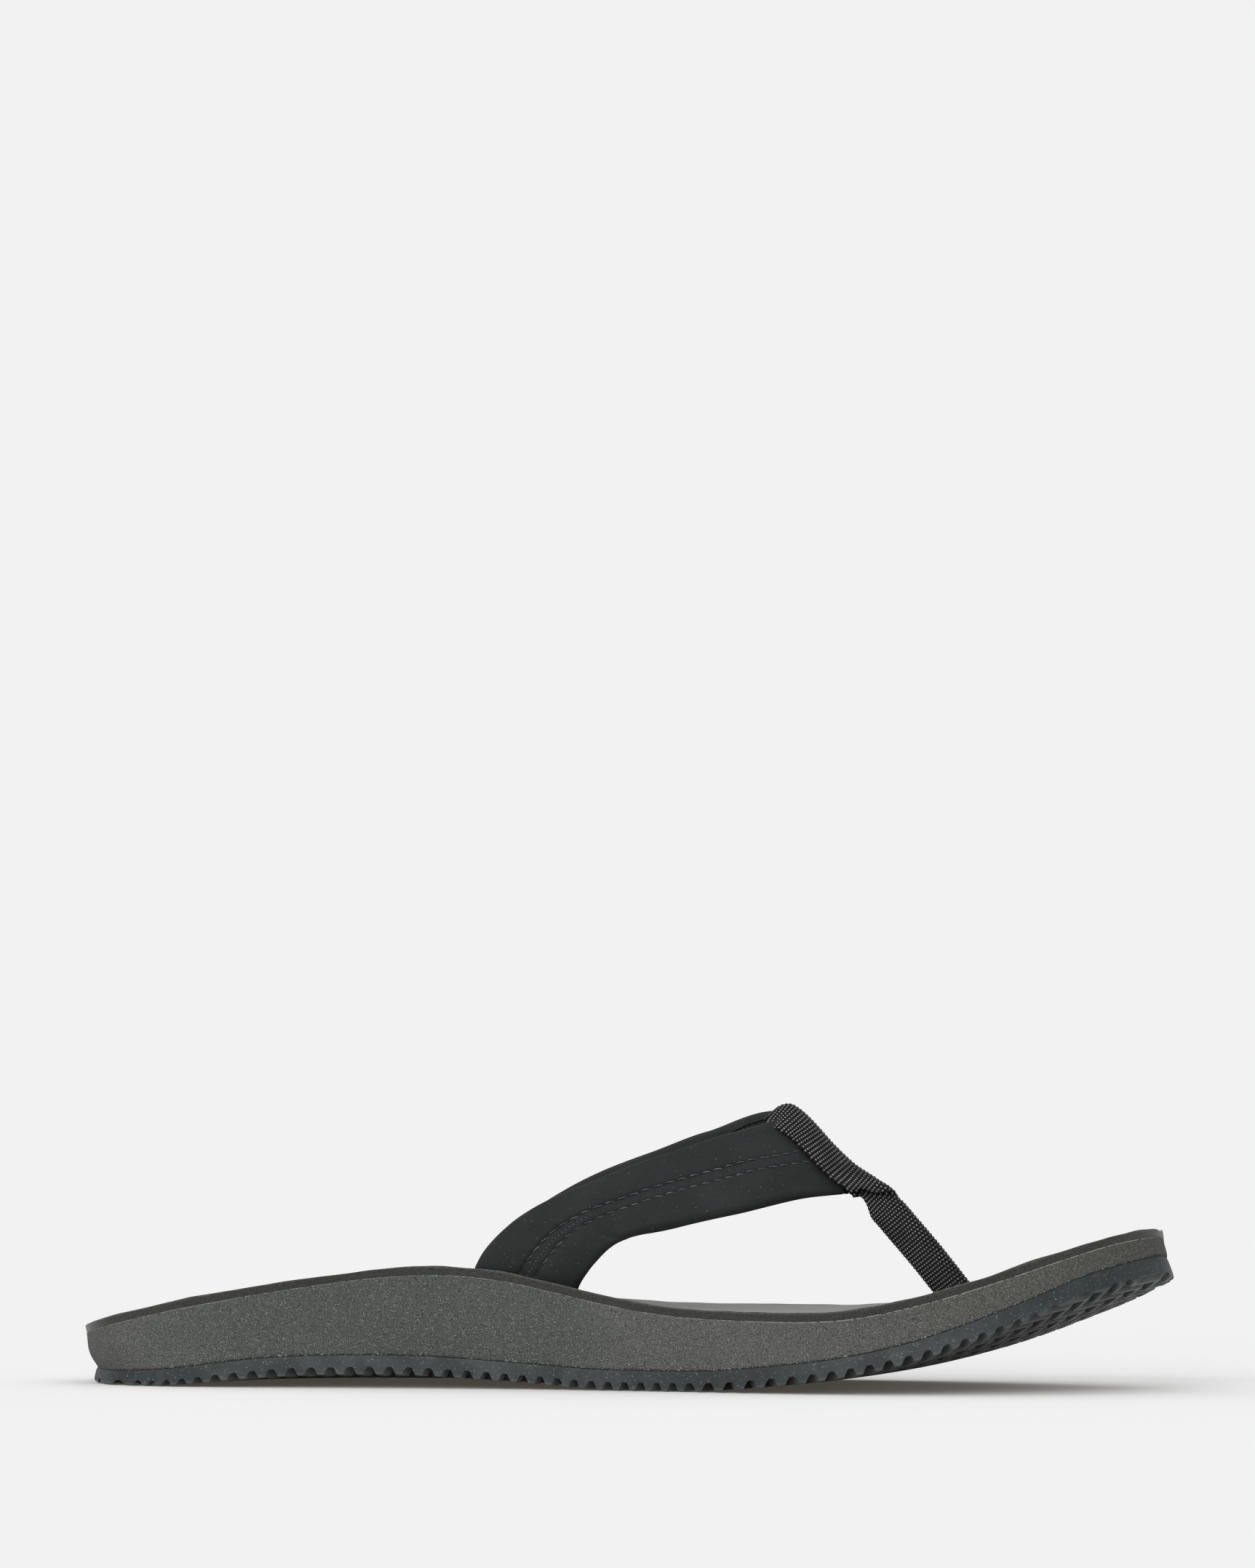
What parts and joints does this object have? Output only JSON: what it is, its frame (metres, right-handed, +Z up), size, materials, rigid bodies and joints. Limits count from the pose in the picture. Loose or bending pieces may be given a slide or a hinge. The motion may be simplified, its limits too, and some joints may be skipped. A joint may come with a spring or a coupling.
{
  "type": "flip flop",
  "caption": "Left thong sandal with a contoured foam sole, wave-tread rubber outsole, padded stitched straps and a folded webbing toe post.",
  "frame": {"origin": "centre of the sandal's bounding box in plan, on the ground it stands on", "axes": "+X from heel to toe, +Y across to the outer (lateral) side of the left foot, +Z up"},
  "size_m": [0.287, 0.106, 0.0727],
  "materials": {
    "outsole_rubber": "moulded, satin matte",
    "midsole_foam": "buffed closed-cell foam with a fine speckle",
    "footbed_foam": "matte soft foam with a fine nap",
    "strap_cloth": "synthetic nubuck, very matte",
    "lining_cloth": "soft knitted lining",
    "padding_foam": "open-cell padding foam",
    "webbing": "ribbed woven webbing with a slight sheen",
    "thread": "bonded sewing thread",
    "strap_tape": "flat woven reinforcing tape",
    "anchor_plastic": "moulded plate"
  },
  "bodies": {
    "root": {"outsole": "outsole_rubber", "midsole": "midsole_foam", "footbed": "footbed_foam", "toe_post_webbing": "webbing", "toe_post_anchor": "anchor_plastic", "medial_strap_rear_panel": "strap_cloth", "medial_strap_front_panel": "strap_cloth", "medial_strap_seam_tape": "strap_cloth", "medial_strap_padding": "padding_foam", "medial_strap_tape": "strap_tape", "medial_strap_lining": "lining_cloth", "medial_strap_rear_stitching": "thread", "medial_strap_front_stitching": "thread", "lateral_strap_rear_panel": "strap_cloth", "lateral_strap_front_panel": "strap_cloth", "lateral_strap_seam_tape": "strap_cloth", "lateral_strap_padding": "padding_foam", "lateral_strap_tape": "strap_tape", "lateral_strap_lining": "lining_cloth", "lateral_strap_rear_stitching": "thread", "lateral_strap_front_stitching": "thread"}
  },
  "joints": []
}
